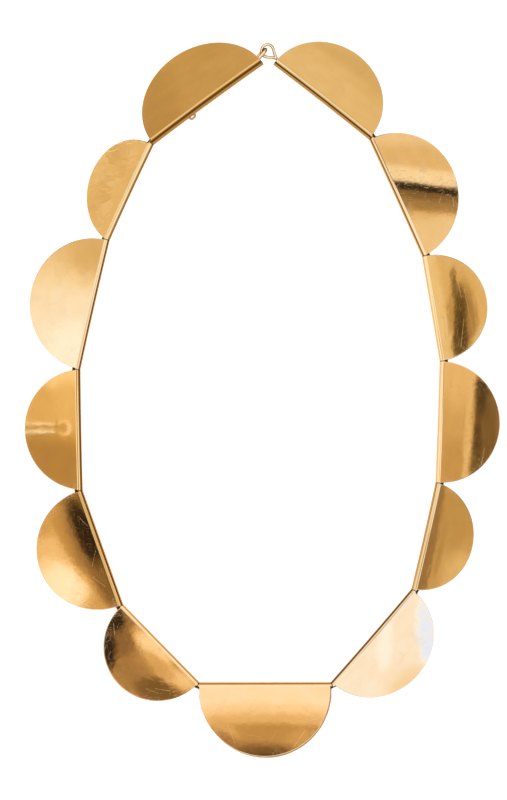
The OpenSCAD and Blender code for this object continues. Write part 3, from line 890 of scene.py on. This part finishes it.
def sheet_gold(moon, finish):
    """Polished gold sheet with fine wear, painted shine and shade round the fold and painted shade
    at its ends and rim, in the half-moon's own coordinates.
    """
    material = bpy.data.materials.new("Polished gold " + moon.name)
    tree = NodeTree(material)
    place, x, out, rise = in_the_sheet(tree, moon)
    front = tree.smooth(out, -0.1, 0.1) * tree.smooth(rise, 0.0, 0.2)
    red, blue = HUES[moon.index]
    gold = (finish.sheet_gold[0] * red, finish.sheet_gold[1], finish.sheet_gold[2] * blue)
    # Painted highlight and painted shade in bands round the fold, multiplied into the gold
    colour = tree.mix_colour(
        1.0, rgba(gold), painted_fold_shine(tree, moon, x, out, rise), "MULTIPLY")
    # Painted shade: the gold is darkened at the fold's ends, where neighbouring folds meet, and
    # along the arc's rim on faces that look up or down; the faint stains are tarnished spots
    ends = 0
    for side, (seam, slant, lean) in zip((1, -1), moon.seams):
        ends = tree.smooth((x + out * slant - rise * lean - seam) * side, 0.16, 0.04) + ends
    right, up = x - moon.edge / 2, out - moon.set
    from_arc = moon.arc - (right * right + up * up).math("SQRT")
    facing = tree.node("ShaderNodeTexCoord", {}, out="Normal")
    flat = tree.smooth(tree.dot(facing, moon.up).math("ABSOLUTE"), 0.3, 0.7)
    rim = tree.smooth(from_arc, 0.13, 0.04) * tree.smooth(out, 0.0, 0.5) * flat
    shaded_ends_and_rim = ends * tree.smooth(out, 0.4, 0.1) * END_SHADE + rim * RIM_SHADE
    stain = tree.smooth(tree.noise(place, 0.22, 4.0, 0.62), 0.52, 0.74)
    colour = tree.mix_colour(
        (shaded_ends_and_rim + stain * STAIN_TARNISH).math("MINIMUM", 1.0), colour, rgba(finish.tarnish))
    relief = tree.noise(place, 0.34, 2.0, 0.5) * (WAVES[moon.index] * MM)
    if moon.index == RIPPLED:
        relief = relief + ripples(tree, x, out) * (RIPPLES * MM)
    wear = fine_scratches(tree, x, out) * WORN[moon.index]
    marks = long_scratches(tree, moon, x, out) * front
    ease = EASE[moon.index]
    bend = ease - out.math("MAXIMUM", 0.0).math("MINIMUM", ease)
    height = relief - wear * (WEAR_DEPTH * MM) - marks * (MARK_DEPTH * MM) - (
        bend * bend * (0.5 * EASE_TURN) * front)
    bump = tree.node(
        "ShaderNodeBump", {}, named={"Strength": 1.0, "Distance": MM, "Height": height})
    shader = tree.node(
        "ShaderNodeBsdfPrincipled", {}, named={
            "Base Color": colour, "Metallic": 1.0,
            "Roughness": (
                stain * STAIN_DULLS + wear * WEAR_DULLS + marks * MARK_DULLS + finish.polish),
            "Specular Tint": rgba(finish.edge_gold), "Normal": bump})
    tree.node("ShaderNodeOutputMaterial", {}, shader)
    return material


def hidden_gold(finish):
    """Gold between the two walls of a half-moon, which no polishing cloth reaches."""
    material = bpy.data.materials.new("Unpolished gold")
    tree = NodeTree(material)
    colour = tree.mix_colour(
        tree.smooth(tree.cloud(400.0), 0.25, 0.6) * 0.3 + 0.2, rgba(finish.wire_gold),
        rgba(finish.tarnish))
    shader = tree.node(
        "ShaderNodeBsdfPrincipled", {}, named={
            "Base Color": colour, "Metallic": 0.4, "Roughness": 0.4,
            "Specular Tint": rgba(finish.edge_gold)})
    tree.node("ShaderNodeOutputMaterial", {}, shader)
    return material


def link_painted_shade(finish):
    """Gold of the small links in the notches, painted near black and without metal shine as
    painted shade for the dark notches, with a little tarnished colour.
    """
    material = bpy.data.materials.new("Tarnished gold link")
    tree = NodeTree(material)
    cloud = tree.cloud(900.0)
    # Painted shade: the link is coloured near black, with faint lighter spots
    colour = tree.mix_colour(
        tree.smooth(cloud, 0.55, 0.8) * 0.1, rgba(2.0 * finish.tarnish), rgba(finish.wire_gold))
    bump = tree.node(
        "ShaderNodeBump", {}, named={"Strength": 0.4, "Distance": 0.02 * MM, "Height": cloud})
    shader = tree.node(
        "ShaderNodeBsdfPrincipled", {}, named={
            "Base Color": colour, "Metallic": 0.0, "Roughness": 0.7, "Normal": bump,
            "Specular IOR Level": 0.05, "Specular Tint": rgba(finish.tarnish)})
    tree.node("ShaderNodeOutputMaterial", {}, shader)
    return material


def clasp_gold(finish):
    """Gold wire of the clasp, painted bright on top and painted dark towards its sides and
    underside, with faint spots.
    """
    material = bpy.data.materials.new("Gold clasp wire")
    tree = NodeTree(material)
    facing = tree.node("ShaderNodeTexCoord", {}, out="Normal")
    # Painted light and shade: the wire's colour is bright where it faces up and dark where it
    # faces sideways or down
    painted_top_light = tree.smooth(tree.dot(facing, (0, 0, 1)), 0.45, 0.85)
    cloud = tree.cloud(700.0)
    painted_shade_gold = rgba(0.2 * finish.wire_gold)
    colour = tree.mix_colour(
        painted_top_light * 0.85 + 0.15 - tree.smooth(cloud, 0.55, 0.8) * 0.1, painted_shade_gold,
        rgba(finish.wire_gold))
    shader = tree.node(
        "ShaderNodeBsdfPrincipled", {}, named={
            "Base Color": colour, "Metallic": 1.0,
            "Roughness": 0.14 + tree.smooth(cloud, 0.4, 0.8) * 0.18,
            "Specular Tint": painted_shade_gold})
    tree.node("ShaderNodeOutputMaterial", {}, shader)
    return material


class NECKLACE_OT_clasp_and_links(Operator):
    """Finish the links, the hook and the ring"""

    bl_idname = "necklace.clasp_and_links"
    bl_label = "Clasp and links"

    def execute(self, context):
        finishes = {
            "link_": link_painted_shade(context.scene.necklace_finish),
            "clasp_": clasp_gold(context.scene.necklace_finish),
        }
        for name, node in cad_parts.items():
            for start, gold in finishes.items():
                if name.startswith(start):
                    for slot in node.material_slots:
                        slot.material = gold
        return {"FINISHED"}


class NECKLACE_OT_stage(Operator):
    """Make the floor, the camera and the studio light"""

    bl_idname = "necklace.stage"
    bl_label = "Stage"

    def execute(self, context):
        light = context.scene.necklace_light
        to_object_mode()
        bpy.ops.mesh.primitive_circle_add(
            vertices=96, radius=FLOOR_RADIUS, fill_type="NGON", location=(0, 0, -FLOOR_DROP))
        floor = bpy.context.object
        floor.name = "floor"
        material = bpy.data.materials.new("Pale floor")
        tree = NodeTree(material)
        seen, mirrored = (
            tree.node(
                "ShaderNodeBsdfPrincipled", {}, named={
                    "Base Color": rgba(share * Vector(light.floor_colour)), "Roughness": 0.9,
                    "Emission Color": WHITE, "Emission Strength": glow * light.floor_glow})
            for share, glow in ((1, 1), (FLOOR_IN_GOLD, GLOW_IN_GOLD)))
        glossy = tree.node("ShaderNodeLightPath", {}, out="Is Glossy Ray")
        shader = tree.node("ShaderNodeMixShader", {}, glossy, seen, mirrored)
        tree.node("ShaderNodeOutputMaterial", {}, shader)
        floor.data.materials.append(material)

        aim = Vector(light.aim)
        bpy.ops.object.camera_add(
            location=aim + Vector((0, 0, light.camera_height)), rotation=(0, 0, 0))
        camera = bpy.context.object
        camera.data.sensor_width = 36
        camera.data.lens = 36 * light.camera_height / light.picture_height
        camera.data.clip_end = 20
        context.scene.camera = camera

        world = bpy.data.worlds.new("Studio")
        context.scene.world = world
        studio_world(world, context)
        context.scene.view_settings.view_transform = "Standard"
        return {"FINISHED"}


def panel_over(tree, under, panel, u, v):
    """Sets a soft-edged panel or flag in front of what a half-moon mirrors."""
    tone, middle_u, middle_v, half_u, half_v, turn, softness = panel
    cos, sin = math.cos(math.radians(turn)), math.sin(math.radians(turn))
    right, up = u - middle_u, v - middle_v
    if turn:
        right, up = right * cos + up * sin, up * cos - right * sin
    right, up = right * (1 / half_u), up * (1 / half_v)
    cover = tree.smooth(right * right + up * up, (1 + softness) ** 2, (1 - softness) ** 2)
    return under + cover * (tone - under)


def room(tree, light, sizes):
    """Brightness of the photographer's room in each direction, as polished gold mirrors it. The
    panels of each half-moon lie where its face mirrors them towards the camera's place."""
    way = tree.node("ShaderNodeTexCoord", {}, out="Generated")
    height = tree.dot(way, (0, 0, 1))
    walls = WALLS - tree.dot(way, (1, 0, 0)) * WALLS_LEFT
    seen = walls + tree.smooth(height, *OVERHEAD_FROM) * (OVERHEAD - walls)
    for azimuth, elevation, reach, tone in ROOM_PANELS:
        level = math.cos(math.radians(elevation))
        aim = Vector((level * math.cos(math.radians(azimuth)),
                      level * math.sin(math.radians(azimuth)), math.sin(math.radians(elevation))))
        cover = tree.smooth(
            tree.dot(way, aim), math.cos(math.radians(reach + PANEL_EDGE)),
            math.cos(math.radians(reach - PANEL_EDGE)))
        seen = seen + cover * (tone - seen)
    for index in range(len(ROW)):
        moon = HalfMoon(index, sizes)
        along, across, level = BOWS[index]
        half = tree.node(
            "ShaderNodeVectorMath", {"operation": "ADD"}, way, tuple(moon.to_camera(light)))
        lift = tree.dot(half, moon.up)
        turn = 0.5 * MM / light.camera_height
        u = tree.dot(half, moon.along) / lift * (
            1 / (along * MM + turn) / (moon.edge / 2))
        v = tree.dot(half, moon.outward) / lift * (
            1 / (across * MM + turn) / moon.depth) + level / moon.depth
        tone, panels = MIRRORED[index][0], MIRRORED[index][1:]
        for panel in panels:
            tone = panel_over(tree, tone, panel, u, v)
        right = u * (moon.edge / 2 / moon.arc)
        up = v * (moon.depth / moon.arc) - moon.set / moon.arc
        shape = tree.smooth(right * right + up * up, *PAST_ARC) * tree.smooth(v, *BEHIND_FOLD)
        seen = seen + shape * (tone - seen)
    return seen + (tree.noise(way, 45.0, 3.0, 0.55) - 0.5) * CLUTTER


def studio_world(world, context):
    """Soft white light all round, and the room that the gold mirrors."""
    light, sizes = context.scene.necklace_light, context.scene.necklace_sizes
    tree = NodeTree(world)
    brightness = room(tree, light, sizes)
    stops = [(place, rgba([part / BRIGHTEST for part in colour])) for place, colour in ROOM_LIGHT]
    colour = tree.node("ShaderNodeValToRGB", {"stops": stops}, brightness)
    mirrored = tree.node("ShaderNodeBackground", {}, colour, BRIGHTEST)
    even = tree.node("ShaderNodeBackground", {}, WHITE, light.soft_light)
    glossy = tree.node("ShaderNodeLightPath", {}, out="Is Glossy Ray")
    shown = tree.node("ShaderNodeMixShader", {}, glossy, even, mirrored)
    tree.node("ShaderNodeOutputWorld", {}, shown)


class NECKLACE_PT_sidebar(Panel):
    """Lists the necklace's pieces and their settings."""

    bl_idname = "NECKLACE_PT_sidebar"
    bl_label = "Half-moon necklace"
    bl_space_type = "VIEW_3D"
    bl_region_type = "UI"
    bl_category = "Necklace"

    def draw(self, context):
        column = self.layout.column()
        for group in ("necklace_sizes", "necklace_finish", "necklace_light"):
            settings = getattr(context.scene, group)
            for name in settings.__annotations__:
                column.prop(settings, name)
        for operator in OPERATORS:
            column.operator(operator.bl_idname)


OPERATORS = (NECKLACE_OT_half_moons, NECKLACE_OT_clasp_and_links, NECKLACE_OT_stage)
GROUPS = {
    "necklace_sizes": NecklaceSizes,
    "necklace_finish": GoldFinish,
    "necklace_light": StudioLight,
}


def register():
    for cls in (*GROUPS.values(), *OPERATORS, NECKLACE_PT_sidebar):
        bpy.utils.register_class(cls)
    for name, group in GROUPS.items():
        setattr(bpy.types.Scene, name, PointerProperty(type=group))


def unregister():
    for name in GROUPS:
        delattr(bpy.types.Scene, name)
    for cls in reversed((*GROUPS.values(), *OPERATORS, NECKLACE_PT_sidebar)):
        bpy.utils.unregister_class(cls)


def main():
    register()
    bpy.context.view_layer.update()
    bpy.ops.necklace.half_moons()
    bpy.ops.necklace.clasp_and_links()
    bpy.ops.necklace.stage()


if __name__ == "__main__":
    main()
